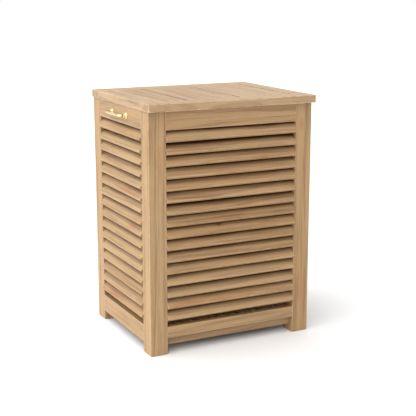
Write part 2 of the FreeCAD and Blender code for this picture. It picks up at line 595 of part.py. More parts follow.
def build_all():
    box_tools, lid_seats, lid_holes = build_hinges()
    slots, bearers, handle_screws = {}, {}, []
    for panel in PANELS:
        top, panel_slots = build_panel(panel)
        if panel.name in HANDLED:
            holes, screws = build_handle(panel)
            handle_screws.append(screws)
            top = cut(f"{panel.name}_top_rail_bored", top, holes)
        else:
            bearer, bearer_slot = build_bearer(panel)
            bearer.Placement = Placement(Vector(), Rotation(Z_AXIS, panel.turn))
            bearers[f"{panel.name}_deck_bearer"] = bearer
            panel_slots.append(bearer_slot)
        turned = gathered(f"{panel.name}_slots", panel_slots)
        turned.Placement = Placement(Vector(), Rotation(Z_AXIS, panel.turn))
        slots[panel.name] = turned
        if panel.name == "rear":
            top.Placement = Placement(Vector(), Rotation(Z_AXIS, panel.turn))
            node(cut("rear_top_rail", top, box_tools), "rear_top_rail")
        else:
            node(top, f"{panel.name}_top_rail", panel.turn)
    node(gathered("handle_screws", handle_screws), "handle_screws")
    build_legs(slots)
    posts = []
    for x in ("-box_width / 2", "box_width / 2 - leg_side"):
        for y in ("-box_depth / 2", "box_depth / 2 - leg_side"):
            posts.append(block(
                f"leg_space_{len(posts) + 1}",
                ("leg_side + 2 * deck_edge_gap", "leg_side + 2 * deck_edge_gap", "leg_height"),
                (f"{x} - deck_edge_gap", f"{y} - deck_edge_gap", "0"),
            ))
    build_deck(bearers, gathered("leg_spaces", posts))
    build_lid(lid_seats, lid_holes)


def check_and_export():
    """Refuses a failed object or a bad shape, then writes one STEP file for each sub-part."""
    doc.recompute()
    failed = [thing.Label for thing in doc.Objects if {"Invalid", "Error"} & set(thing.State)]
    if failed:
        raise RuntimeError(f"objects that failed: {failed}")
    for label, thing in nodes.items():
        if thing.Shape.isNull() or not thing.Shape.isValid() or not thing.Shape.Solids:
            raise RuntimeError(f"{label} has no valid solid")
    os.makedirs("parts", exist_ok=True)
    for label, thing in nodes.items():
        thing.Shape.exportStep(os.path.join("parts", f"{label}.step"))
    print(len(nodes), "nodes")


build_all()
check_and_export()
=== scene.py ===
"""The looks of a louvred teak laundry hamper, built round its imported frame.

Lengths are in metres. X runs across the front, Y from front to back and Z up.
"""

import json
import math
from collections import namedtuple

import bmesh
import bpy
import numpy as np
from mathutils import Euler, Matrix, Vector
from mathutils.geometry import tessellate_polygon


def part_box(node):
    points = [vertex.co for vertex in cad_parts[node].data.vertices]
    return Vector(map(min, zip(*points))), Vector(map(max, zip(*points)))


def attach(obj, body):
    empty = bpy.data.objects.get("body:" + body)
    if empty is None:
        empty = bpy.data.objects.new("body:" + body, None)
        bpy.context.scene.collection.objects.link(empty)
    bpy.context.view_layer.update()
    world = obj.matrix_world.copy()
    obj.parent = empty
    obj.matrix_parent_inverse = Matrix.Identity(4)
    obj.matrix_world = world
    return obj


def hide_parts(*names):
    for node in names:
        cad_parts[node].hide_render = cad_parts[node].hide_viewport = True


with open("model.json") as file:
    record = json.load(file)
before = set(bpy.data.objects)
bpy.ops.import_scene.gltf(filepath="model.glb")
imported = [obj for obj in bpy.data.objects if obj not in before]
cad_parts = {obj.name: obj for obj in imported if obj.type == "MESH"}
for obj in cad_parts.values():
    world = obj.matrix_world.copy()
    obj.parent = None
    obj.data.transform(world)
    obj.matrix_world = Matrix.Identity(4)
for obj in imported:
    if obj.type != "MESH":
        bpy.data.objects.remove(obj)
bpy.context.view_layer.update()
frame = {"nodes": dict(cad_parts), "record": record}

MM = 0.001
SEED = 11

# Each face of a block: its axis, and which side of the block it is on
FACES = {"left": (0, -1), "right": (0, 1), "front": (1, -1),
         "rear": (1, 1), "bottom": (2, -1), "top": (2, 1)}
# Each side of the hamper: the axis that its boards run along, and which way is outwards
SIDES = (("front", 0, -1), ("rear", 0, 1), ("left", 1, -1), ("right", 1, 1))

# Rounded edges
LEG_EDGE = 0.9 * MM
LEG_CORNER = 1.4 * MM
FOOT_EDGE = 1.2 * MM
RAIL_EDGE = 0.8 * MM
SHOULDER_EDGE = 0.35 * MM
SLAT_EDGE = 0.9 * MM
LID_EDGE = 1.8 * MM
LID_UNDER_EDGE = 1.2 * MM
PLANK_EDGE = 1.6 * MM
ARC_STEPS = (0, 22.5, 45)
SHARP_ANGLE = 50

# Mesh lines beside the roundings, and the spacing of the rest
BANDS = (2.5 * MM, 7 * MM)
BAND_ROOM = 2.2
LINE_SPACING = 45 * MM
LEAST_SPACING = 3 * MM
SAME_LINE = 0.02 * MM
EDGE_REACH = 7 * MM

# What counts as zero, and the decimals of a metre to which points in one place agree
TINY = 1e-9
POINT_DECIMALS = 6

# How far a piece's middle may stand out of line
LEG_BOW = 0.2 * MM
SLAT_BOW = 0.25 * MM

# How a board was cut from its tree: where its grain starts, how far off the heart is, how far its
# rings may lean (in radians), how far the grain runs out across and through it, and its tone
GRAIN_START = 60
HEART = (0.05, 0.16)
RING_LEAN = 0.45
RUN_ACROSS = 0.012
RUN_THROUGH = 0.006
TONE_SPREAD = 0.45

# How likely it is that a piece's rings stand across its widest face
QUARTER_PLAIN = 0.7
QUARTER_LEG = 0.85
QUARTER_RAIL = 0.9
QUARTER_DECK = 0.5
QUARTER_PLANK = 0.6

# Hinge seats, and the deck's notches round the legs
LEAF_THICKNESS = 1.5 * MM
LEAF_GAP = 0.15 * MM
NOTCH_GAP = 0.5 * MM

# Painted shade on the sides of the joints between the lid's planks
JOINT_DARK_FROM = 0.3 * MM
JOINT_DARK_WIDTH = 2.4 * MM

# Handles: the bar's bends, then each rose from the wood outwards
BAR_BEND = 7 * MM
BAR_SIDES, BEND_STEPS, TURNED_SIDES = 28, 10, 48
BORE_GAP = 0.1 * MM
RIM_HEIGHT = 1.6 * MM
RIM_ROUND = 0.6 * MM
STEP_IN = 1.4 * MM
STEP_UP = 0.15 * MM
COVE_RADIUS = 4.4 * MM
COVE_IN = 0.2 * MM
COVE_DOWN = 1.9 * MM
LIP_RADIUS = 0.8 * MM
LIP_OUT = 5.1 * MM
LIP_DOWN = 1.0 * MM

# Screws: the head's flat and its cross as shares of the head's radius, the cross's floor and the
# shoulder as shares of how far the head stands out, and the tip as a share of the shank
HEAD_SIDES = 24
HEAD_FLAT = 0.86
HEAD_SHOULDER = 0.5
CROSS_LENGTH = 0.58
CROSS_WIDTH = 0.13
CROSS_TAPER = 0.6
CROSS_FLOOR = 0.15
SHANK = 0.5
SCREW_TIP = 0.2
SCREW_POINT = 3.5 * MM
DECK_HEAD_PROUD = 0.6 * MM

# The studio: the floor, and two glows in the sky. Each glow has a direction, the cosines from it at
# which it is dark and full (one past 1 is never reached), and its strengths there
FLOOR_REACH = 9
FLOOR_TONE = (0.8, 0.8, 0.8, 1)
FLOOR_ROUGHNESS = 0.9
KEY_GLOW = ((-0.66, -0.10, 0.75), (0, 1.41), (0.35, 3.82))
BACK_GLOW = ((0.44, 0.86, 0.26), (0.55, 1.0), (0, 0.65))
STRENGTH_BELOW = 1.0
WHITE = (1, 1, 1, 1)

# The camera: lens and film in mm, place, and turns from looking down and from looking along Y
LENS, FILM = 86.2, 36
CAMERA_PLACE = (-1.2013, -2.4359, 0.9565)
CAMERA_RISE, CAMERA_TURN = 77.113, -26.70

Wood = namedtuple("Wood", "points faces grain edge tone recess")
draw = np.random.default_rng(SEED)

record = frame["record"]
BODY = {name: body for body, names in record["behaviour"]["bodies"].items() for name in names}
SLOT = {part["node"]: part["material_slot"] for part in record["subparts"]}


# ---------------------------------------------------------------- meshes


def box(node):
    """A node's lowest and highest corners as arrays."""
    low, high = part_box(node)
    return np.array(low), np.array(high)


def rounding(default, **special):
    """The radius of each of a block's twelve edges; a special one is named by its two faces."""
    radii = {}
    names = list(FACES)
    for first in range(6):
        for second in range(first + 1, 6):
            a, b = FACES[names[first]], FACES[names[second]]
            if a[0] != b[0]:
                radii[a, b] = default
    for name, radius in special.items():
        a, b = sorted(FACES[word] for word in name.split("_"))
        radii[a, b] = radius
    return radii


def lines_along(axis, low, high, radii, cuts):
    """Where the mesh lines of a block cross one axis."""
    length = high[axis] - low[axis]
    places = [low[axis], high[axis]]
    for edge, radius in radii.items():
        for face_axis, side in edge:
            if face_axis == axis:
                face = high[axis] if side > 0 else low[axis]
                for angle in ARC_STEPS:
                    places.append(face - side * radius * (1 - math.tan(math.radians(angle))))
    for band in BANDS:
        if BAND_ROOM * band < length:
            places += [low[axis] + band, high[axis] - band]
    for cut_low, cut_high in cuts:
        places += [cut[axis] for cut in (cut_low, cut_high) if low[axis] < cut[axis] < high[axis]]
    count = int(length / LINE_SPACING)
    inner = [low[axis] + length * step / (count + 1) for step in range(1, count + 1)]
    places += [line for line in inner if min(abs(line - other) for other in places) > LEAST_SPACING]
    kept = []
    for line in sorted(places):
        if not kept or line - kept[-1] > SAME_LINE:
            kept.append(line)
    kept[-1] = high[axis]
    return np.array(kept)


def skin(lines, cuts):
    """The outside of a block of cells, less the cut ones: its points and its four-sided faces."""
    counts = [len(places) for places in lines]
    middles = [(places[1:] + places[:-1]) / 2 for places in lines]
    solid = np.ones([count - 1 for count in counts], bool)
    for low, high in cuts:
        solid[np.ix_(*[(m > a) & (m < b) for m, a, b in zip(middles, low, high)])] = False
    padded = np.pad(solid, 1)
    index = np.arange(np.prod(counts)).reshape(counts)
    faces = []
    for axis in range(3):
        order = (axis, (axis + 1) % 3, (axis + 2) % 3)
        cells = padded.transpose(order)[:, 1:-1, 1:-1]
        number = index.transpose(order)
        for outward, found in ((True, cells[:-1] & ~cells[1:]), (False, ~cells[:-1] & cells[1:])):
            plane, row, column = np.nonzero(found)
            quad = [number[plane, row, column], number[plane, row + 1, column],
                    number[plane, row + 1, column + 1], number[plane, row, column + 1]]
            faces.append(np.stack(quad if outward else quad[::-1], 1))
    faces = np.concatenate(faces)
    used, faces = np.unique(faces, return_inverse=True)
    lattice = np.stack([grid.ravel() for grid in np.meshgrid(*lines, indexing="ij")], 1)
    return lattice[used], faces.reshape(-1, 4)


def round_off(points, low, high, radii):
    """Bends the points near each edge of a block onto that edge's arc."""
    for ((a, side_a), (b, side_b)), radius in radii.items():
        centre_a = (high[a] if side_a > 0 else low[a]) - side_a * radius
        centre_b = (high[b] if side_b > 0 else low[b]) - side_b * radius
        out_a = side_a * (points[:, a] - centre_a)
        out_b = side_b * (points[:, b] - centre_b)
        near = (out_a > TINY) & (out_b > TINY)
        shrink = np.maximum(out_a, out_b)[near] / np.hypot(out_a, out_b)[near]
        points[near, a] = centre_a + side_a * out_a[near] * shrink
        points[near, b] = centre_b + side_b * out_b[near] * shrink
    return points


def board(low, high, along, radii, axes=None, cuts=(), quarter=QUARTER_PLAIN, bow=0.0, recess=None):
    """A piece of timber, rounded at its edges, with its grain along one axis.

    axes turns the block from its own directions to the frame's. quarter is how likely it is that the
    growth rings stand across its widest face, and bow is how far its middle may stand out of line.
    recess gives how deep in a gap each point lies, from 0 to 1, where it is darkened with painted
    shade.
    """
    low, high = np.array(low, float), np.array(high, float)
    lines = [lines_along(axis, low, high, radii, cuts) for axis in range(3)]
    points, faces = skin(lines, cuts)
    to_faces = np.sort(np.minimum(points - low, high - points), 1)
    edge = np.clip(to_faces[:, 1], 0, EDGE_REACH)
    points = round_off(points, low, high, radii)

    middle, size = (low + high) / 2, high - low
    others = [axis for axis in range(3) if axis != along]
    wide, thick = sorted(others, key=lambda axis: -size[axis])
    share = (points[:, along] - middle[along]) / size[along]
    for axis in others:
        points[:, axis] += draw.uniform(-bow, bow) * np.cos(math.pi * share)

    grain = np.empty_like(points)
    local = points - middle
    grain[:, 0] = local[:, along] + draw.uniform(0, GRAIN_START)
    heart = draw.uniform(*HEART)
    lean = draw.uniform(-RING_LEAN, RING_LEAN) + (0 if draw.random() < quarter else math.pi / 2)
    run_across = draw.uniform(-RUN_ACROSS, RUN_ACROSS)
    run_through = draw.uniform(-RUN_THROUGH, RUN_THROUGH)
    grain[:, 1] = local[:, wide] + heart * math.cos(lean) + run_across * local[:, along]
    grain[:, 2] = local[:, thick] + heart * math.sin(lean) + run_through * local[:, along]
    if axes is not None:
        points = points @ np.array(axes)
    tone = np.full(len(points), draw.normal(0, TONE_SPREAD))
    deep = np.zeros(len(points)) if recess is None else np.clip(recess(points), 0, 1)
    return Wood(points, faces, grain, edge, tone, deep)


def mesh_object(name, points, faces):
    """An object of a new mesh, smooth but for its sharp edges."""
    mesh = bpy.data.meshes.new(name)
    mesh.from_pydata([tuple(point) for point in points], [], [tuple(face) for face in faces])
    mesh.shade_smooth()
    mesh.set_sharp_from_angle(angle=math.radians(SHARP_ANGLE))
    made = bpy.data.objects.new(name, mesh)
    bpy.context.scene.collection.objects.link(made)
    return made


def place(made, material, *nodes):
    """Gives a piece its material, and has it stand for CAD nodes and ride with them."""
    made.data.materials.append(material)
    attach(made, BODY[nodes[0]])
    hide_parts(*nodes)
    return made


def joined(parts):
    """Several (points, faces) as one."""
    points, faces, start = [], [], 0
    for part_points, part_faces in parts:
        points += [tuple(point) for point in part_points]
        faces += [tuple(start + corner for corner in face) for face in part_faces]
        start += len(part_points)
    return points, faces


def timber(node, *boards):
    """One piece of teak made of boards, which stands for a CAD node."""
    points, faces = joined([(wood.points, wood.faces) for wood in boards])
    made = mesh_object(f"{node}_teak", points, faces)
    for name in ("grain", "edge", "tone", "recess"):
        kind, width = ("FLOAT_VECTOR", "vector") if name == "grain" else ("FLOAT", "value")
        values = np.concatenate([getattr(wood, name) for wood in boards]).astype(np.float32)
        made.data.attributes.new(name, kind, "POINT").data.foreach_set(width, values.ravel())
    weighted = made.modifiers.new("even_faces", "WEIGHTED_NORMAL")
    weighted.keep_sharp = True
    return place(made, TEAK[SLOT[node]], node)


def solids(node):
    """The separate solids of a CAD node, each as an array of triangles."""
    mesh = frame["nodes"][node].data
    mesh.calc_loop_triangles()
    points = np.array([vertex.co for vertex in mesh.vertices])
    triangles = np.array([triangle.vertices for triangle in mesh.loop_triangles])
    same = np.unique(np.round(points, POINT_DECIMALS), axis=0, return_inverse=True)[1].reshape(-1)
    corners = same[triangles]
    label = np.arange(same.max() + 1)
    while True:
        spread = label.copy()
        np.minimum.at(spread, corners.ravel(), np.repeat(label[corners].min(1), 3))
        if (spread == label).all():
            break
        label = spread
    owner = label[corners[:, 0]]
    return [points[triangles[owner == one]] for one in np.unique(owner)]


# ---------------------------------------------------------------- materials


class Nodes:
    """A node tree, with short calls for the nodes used here."""

    def __init__(self, tree):
        self.tree = tree

    def give(self, socket, value):
        """Links a socket to another one, or gives it a plain value."""
        if isinstance(value, bpy.types.NodeSocket):
            self.tree.links.new(value, socket)
        else:
            socket.default_value = value

    def node(self, kind, inputs, **settings):
        made = self.tree.nodes.new(f"ShaderNode{kind}")
        for name, value in settings.items():
            setattr(made, name, value)
        for name, value in inputs.items():
            self.give(made.inputs[name], value)
        return made

    def maths(self, operation, *values, clamp=False):
        inputs = dict(enumerate(values))
        return self.node("Math", inputs, operation=operation, use_clamp=clamp).outputs[0]

    def vectors(self, operation, first, second):
        return self.node("VectorMath", {0: first, 1: second}, operation=operation).outputs[0]

    def attribute(self, name, output):
        return self.node("Attribute", {}, attribute_name=name).outputs[output]

    def noise(self, vector, stretch, detail=3, roughness=0.55, output="Fac"):
        """Noise with so many details to a metre along each axis of the vector."""
        inputs = {"Vector": self.vectors("MULTIPLY", vector, stretch), "Scale": 1, "Detail": detail,
                  "Roughness": roughness}
        return self.node("TexNoise", inputs).outputs[output]

    def between(self, value, low, high, to_low=0.0, to_high=1.0):
        inputs = {"Value": value, "From Min": low, "From Max": high,
                  "To Min": to_low, "To Max": to_high}
        return self.node("MapRange", inputs, interpolation_type="SMOOTHSTEP").outputs[0]

    def mixed(self, factor, first, second, blend="MIX"):
        inputs = {0: factor, 6: first, 7: second}
        return self.node("Mix", inputs, data_type="RGBA", blend_type=blend).outputs[2]


class Surface(Nodes):
    """The nodes of a new material."""

    def __init__(self, name):
        self.material = bpy.data.materials.new(name)
        self.material.use_nodes = True
        super().__init__(self.material.node_tree)

    def finish(self, **inputs):
        surface = self.tree.nodes["Principled BSDF"]
        for name, value in inputs.items():
            self.give(surface.inputs[name.replace("_", " ").title()], value)
        return self.material


def colour(red, green, blue):
    """A colour given as on a screen, from 0 to 255, in the renderer's own numbers."""
    parts = [part / 255 for part in (red, green, blue)]
    bright = [((part + 0.055) / 1.055) ** 2.4 if part > 0.04045 else part / 12.92 for part in parts]
    return (*bright, 1)


LIGHT = colour(177, 144, 101)
# The lid's teak is paler and greyer than the rest: painted sheen, the grazing reflection of the
# bright studio on its top
LID_TONE_WITH_SHEEN = colour(178, 149, 112)
LIGHT_DECK = colour(170, 138, 100)
DARK = colour(88, 54, 26)
RED = colour(232, 178, 140)
# Pale tint for rubbed edges, also a painted highlight along the lid's rounded edges
WORN_AND_HIGHLIGHT = colour(226, 196, 156)
# Painted shade for the recesses under the slats and in the lid's joints
PAINTED_SHADE = colour(112, 64, 30)
KNOT = colour(96, 56, 32)
# Each metal bright, dull and how rough
BRASS = (colour(236, 220, 166), colour(142, 126, 74), 0.07)
STEEL = (colour(200, 200, 200), colour(168, 166, 160), 0.25)

# Details to a metre, along the grain and the two ways across it
WAVERS = (1.6, 7, 7)
STREAKS = (4, 110, 110)
FIBRES = (45, 1900, 1900)
PORES = (130, 2300, 2300)
CLOUDS = (5, 26, 26)
KNOTS = (6.5, 13, 13)
WORN_PATCHES = (60, 160, 160)
# The values of these noises that they show between
PORES_BETWEEN = (0.62, 0.72)
PATCHES_BETWEEN = (0.3, 0.65)
# How far a waver moves the rings and streaks
WAVER_SIZE = (0, 0.016, 0.016)

# Growth rings to a metre, how sharply each ends in its late wood, and the noises that follow them
YEARS = 230
YEARS_UNEVEN = 40
LATE_SHARPNESS = 3
FINE_RINGS = 900
BROAD_RINGS = 70

# How much each part of the figure darkens the wood, after the noise values that it shows between
LATE_WEIGHT = 0.24
FIGURE = {
    "fine": (0.35, 0.75, 0.16),
    "broad": (0.42, 0.70, 0.24),
    "streak": (0.44, 0.66, 0.44),
    "fibre": (0.35, 0.70, 0.18),
    "pore": (0.0, 1.0, 0.26),
}
FIGURE_STRENGTH = 0.66
RED_CLOUDS = (0.52, 0.80, 0, 0.50)

# The share of cells with a knot in them; then a halo and the knot: reach, strength, tint and blend
KNOT_SHARE = 0.16
KNOT_LAYERS = (((0.02, 0.16), 0.45, RED, "MULTIPLY"), ((0.015, 0.055), 0.8, KNOT, "MIX"))

# What a board's own tone does to its hue, saturation and value
TONE_TO_COLOUR = (("Hue", 0.004, 0.5), ("Saturation", -0.05, 1), ("Value", 0.055, 1))

# Paler, smoother rubbed edges, on the lid partly a painted highlight, and two layers of painted shade
# in recesses
EDGE_WEAR = 1.6 * MM
# The lid's pale band is wider: rubbed edges and a painted highlight along its rounded edges
LID_WEAR_AND_HIGHLIGHT = 3.4 * MM
PALE_EDGE_STRENGTH = 0.45
PAINTED_SHADE_RAGGED = 0.25
PAINTED_SHADE_LAYERS = ((0.48, 1.0, 0, 0.75), (0.74, 0.95, 0, 1))

# Roughness of the wood as its streaks' noise rises, and the heights that its bumps come from
ROUGHNESS = (0.3, 0.7, 0.46, 0.58)
PORE_ROUGHER, WORN_ROUGHER = 0.15, -0.10
FIBRE_HEIGHT, PORE_HEIGHT, STREAK_HEIGHT = 0.5, -0.6, 0.5
TEAK_BUMP = {"Strength": 0.35, "Distance": 0.25 * MM}

# Metal: cloudy tarnish and lengthwise polishing marks, with what their noises do between two values
TARNISH = (60, 60, 60)
POLISH = (2500, 300, 2500)
TARNISH_DULLS = (0.45, 0.75, 0, 0.6)
TARNISH_ROUGHENS = (0.5, 0.8, 0, 0.08)
POLISH_BETWEEN = (0.3, 0.75)
POLISH_ROUGHENS = 0.10
METAL_BUMP = {"Strength": 0.08, "Distance": 0.05 * MM}


def figure(s, grain, light):
    """The wood's own colour, and the noises of it that its roughness and bumps follow too."""
    waver = s.noise(grain, WAVERS, detail=2, output="Color")
    shift = s.vectors("MULTIPLY", s.vectors("SUBTRACT", waver, (0.5, 0.5, 0.5)), WAVER_SIZE)
    bent = s.vectors("ADD", grain, shift)
    sideways = s.vectors("MULTIPLY", bent, (0, 1, 1))
    from_heart = s.node("VectorMath", {0: sideways}, operation="LENGTH").outputs["Value"]

    def rings(per_metre, detail):
        inputs = {"W": s.maths("MULTIPLY", from_heart, per_metre), "Scale": 1, "Detail": detail,
                  "Roughness": 0.6}
        return s.node("TexNoise", inputs, noise_dimensions="1D").outputs[0]

    year = s.maths("FRACT", s.maths("MULTIPLY_ADD", from_heart, YEARS, rings(YEARS_UNEVEN, 1)))
    parts = {
        "fine": rings(FINE_RINGS, 2),
        "broad": rings(BROAD_RINGS, 2),
        "streak": s.noise(bent, STREAKS, detail=4, roughness=0.62),
        "fibre": s.noise(grain, FIBRES, detail=2),
        "pore": s.between(s.noise(grain, PORES, detail=1), *PORES_BETWEEN),
        "cloud": s.noise(grain, CLOUDS, detail=3),
    }
    darkness = s.maths("MULTIPLY", s.maths("POWER", year, LATE_SHARPNESS), LATE_WEIGHT)
    for part, (low, high, weight) in FIGURE.items():
        darkness = s.maths("ADD", darkness, s.between(parts[part], low, high, 0, weight))
    wood = s.mixed(s.maths("MULTIPLY", darkness, FIGURE_STRENGTH, clamp=True), light, DARK)
    return s.mixed(s.between(parts["cloud"], *RED_CLOUDS), wood, RED, "MULTIPLY"), parts


def with_knots(s, grain, wood):
    """The wood with a few small knots in it, each in a reddish halo."""
    place_in = s.vectors("MULTIPLY", grain, KNOTS)
    cells = s.node("TexVoronoi", {"Vector": place_in, "Scale": 1, "Randomness": 1})
    chance = s.node("SeparateColor", {"Color": cells.outputs["Color"]}).outputs[0]
    chosen = s.maths("LESS_THAN", chance, KNOT_SHARE)
    for reach, strength, tint, blend in KNOT_LAYERS:
        inside = s.maths("MULTIPLY", s.between(cells.outputs["Distance"], *reach, 1, 0), chosen)
        wood = s.mixed(s.maths("MULTIPLY", inside, strength), wood, tint, blend)
    return wood


def toned(s, wood):
    """The wood in each board's own tone."""
    tone = s.attribute("tone", "Fac")
    inputs = {"Color": wood}
    for name, share, plain in TONE_TO_COLOUR:
        inputs[name] = s.maths("MULTIPLY_ADD", tone, share, plain)
    return s.node("HueSaturation", inputs).outputs[0]


def teak(name, light, pale_reach=EDGE_WEAR):
    """Oiled teak: growth rings round a far heart, with streaks, fibres and pores along the grain."""
    s = Surface(name)
    grain = s.attribute("grain", "Vector")
    wood, parts = figure(s, grain, light)
    wood = toned(s, with_knots(s, grain, wood))

    patchy = s.between(s.noise(grain, WORN_PATCHES, detail=2), *PATCHES_BETWEEN)
    # Paler edges: rubbed wood, and on the lid also a painted highlight
    pale_edges = s.maths("MULTIPLY", s.between(s.attribute("edge", "Fac"), 0.0, pale_reach, 1, 0), patchy)
    wood = s.mixed(s.maths("MULTIPLY", pale_edges, PALE_EDGE_STRENGTH), wood, WORN_AND_HIGHLIGHT)

    # Painted shade: darker the deeper the recess attribute says a point lies, made ragged by the
    # clouds
    uneven = s.maths("SUBTRACT", parts["cloud"], 0.5)
    deep = s.maths("MULTIPLY_ADD", uneven, PAINTED_SHADE_RAGGED, s.attribute("recess", "Fac"))
    for layer in PAINTED_SHADE_LAYERS:
        wood = s.mixed(s.between(deep, *layer), wood, PAINTED_SHADE, "MULTIPLY")

    rough = s.between(parts["streak"], *ROUGHNESS)
    rough = s.maths("MULTIPLY_ADD", parts["pore"], PORE_ROUGHER, rough)
    rough = s.maths("MULTIPLY_ADD", pale_edges, WORN_ROUGHER, rough)
    height = s.maths("MULTIPLY", parts["pore"], PORE_HEIGHT)
    height = s.maths("MULTIPLY_ADD", parts["fibre"], FIBRE_HEIGHT, height)
    height = s.maths("MULTIPLY_ADD", parts["streak"], STREAK_HEIGHT, height)
    bump = s.node("Bump", {**TEAK_BUMP, "Height": height}).outputs[0]
    return s.finish(base_color=wood, roughness=rough, normal=bump)


def polished(name, bright, dull, roughness):
    """Metal with faint polishing marks, slight tarnish and fine scratches."""
    s = Surface(name)
    here = s.node("TexCoord", {}).outputs["Object"]
    cloud = s.noise(here, TARNISH, detail=4)
    marks = s.noise(here, POLISH, detail=2)
    metal = s.mixed(s.between(cloud, *TARNISH_DULLS), bright, dull)
    rough = s.between(marks, *POLISH_BETWEEN, roughness, roughness + POLISH_ROUGHENS)
    rough = s.maths("ADD", rough, s.between(cloud, *TARNISH_ROUGHENS))
    bump = s.node("Bump", {**METAL_BUMP, "Height": marks}).outputs[0]
    return s.finish(base_color=metal, metallic=1.0, roughness=rough, normal=bump)


TEAK = {
    "teak_frame": teak("teak_frame", LIGHT),
    "teak_slats": teak("teak_slats", LIGHT),
    "teak_lid": teak("teak_lid", LID_TONE_WITH_SHEEN, LID_WEAR_AND_HIGHLIGHT),
    "teak_deck": teak("teak_deck", LIGHT_DECK),
}
METAL = {
    "brass": polished("brass", *BRASS),
    "stainless_steel": polished("stainless_steel", *STEEL),
}


# ---------------------------------------------------------------- timber pieces


def nodes_named(start):
    """The CAD nodes whose names start so, in order."""
    return sorted(node for node in frame["nodes"] if node.startswith(start))


def build_legs():
    for depth in ("front", "rear"):
        for side in ("left", "right"):
            node = f"{depth}_{side}_leg"
            radii = rounding(LEG_EDGE, **{f"{depth}_{side}": LEG_CORNER, f"{depth}_bottom": FOOT_EDGE,
                                          f"{side}_bottom": FOOT_EDGE})
            timber(node, board(*box(node), 2, radii, quarter=QUARTER_LEG, bow=LEG_BOW))


def between_legs(node, axis):
    """The shown part of a board that runs from leg to leg, without its tenons."""
    low, high = box(node)
    low[axis] = box("front_left_leg")[1][axis]
    high[axis] = box("rear_right_leg")[0][axis]
    return low, high


def build_rails():
    for name, axis, _ in SIDES:
        shoulders = {}
        for end in ("left", "right") if axis == 0 else ("front", "rear"):
            for other, (face_axis, _) in FACES.items():
                if face_axis != axis:
                    first, second = sorted((end, other), key=lambda word: FACES[word])
                    shoulders[f"{first}_{second}"] = SHOULDER_EDGE
        radii = rounding(RAIL_EDGE, **shoulders)
        for level in ("top", "bottom"):
            node = f"{name}_{level}_rail"
            low, high = between_legs(node, axis)
            cuts = hinge_seats(high[2], "box") if node == "rear_top_rail" else ()
            timber(node, board(low, high, axis, radii, cuts=cuts, quarter=QUARTER_RAIL))
        if axis == 0:
            node = f"{name}_deck_bearer"
            timber(node, board(*between_legs(node, axis), axis, radii))


def hinge_seats(face, half):
    """The seats of the two hinge leaves, cut down into the box's top or up into the lid's bottom."""
    seats = []
    for side in ("left", "right"):
        low, high = box(f"{side}_hinge_{half}_leaf")
        depth = -LEAF_THICKNESS if half == "box" else LEAF_THICKNESS
        bottom, top = sorted((face + depth, face - depth))
        seats.append(((low[0] - LEAF_GAP, low[1] - LEAF_GAP, bottom),
                      (high[0] + LEAF_GAP, high[1], top)))
    return seats


def under_next_slat(triangles, outer):
    """How far a point is up a slat's outer face, in the shade of the slat above, for its painted
    shade.

    It is none on the inner face.
    """
    bottom, top = triangles[:, :, 2].min(), triangles[:, :, 2].max()
    thick = triangles @ outer

    def depth(points):
        outside = (points @ outer - thick.min()) / (thick.max() - thick.min())
        return (points[:, 2] - bottom) / (top - bottom) * np.clip(2 * outside, 0, 1)
    return depth


def build_slats():
    for name, axis, outward in SIDES:
        for node in nodes_named(f"{name}_slats_"):
            low, high = between_legs(node, axis)
            boards = []
            for triangles in solids(node):
                first, second, third = triangles.transpose(1, 0, 2)
                areas = np.cross(second - first, third - first)
                through = areas[np.argmax(np.linalg.norm(areas, axis=1))]
                through = through / np.linalg.norm(through)
                along = np.eye(3)[axis]
                axes = np.array([along, np.cross(through, along), through])
                own = triangles.reshape(-1, 3) @ axes.T
                own_low, own_high = own.min(0), own.max(0)
                own_low[0], own_high[0] = low[axis], high[axis]
                outer = through * np.sign(through[1 - axis] * outward)
                # recess: painted shade on the upper outer face of each slat, under the slat above
                boards.append(board(own_low, own_high, 0, rounding(SLAT_EDGE), axes, bow=SLAT_BOW,
                                    recess=under_next_slat(triangles, outer)))
            timber(node, *boards)


def build_deck():
    legs = [box(f"{depth}_{side}_leg") for depth in ("front", "rear") for side in ("left", "right")]
    spaces = [(low - NOTCH_GAP, high + NOTCH_GAP) for low, high in legs]
    for node in nodes_named("deck_board_"):
        timber(node, board(*box(node), 1, rounding(RAIL_EDGE), cuts=spaces, quarter=QUARTER_DECK))


def joint_sides(places, top):
    """How deep a point is in the joints between planks, for the painted shade on the sides that face
    one.
    """
    def depth(points):
        from_side = np.min([abs(points[:, 0] - place) for place in places], 0)
        return (top - points[:, 2]) / JOINT_DARK_FROM * (1 - from_side / JOINT_DARK_WIDTH)
    return depth


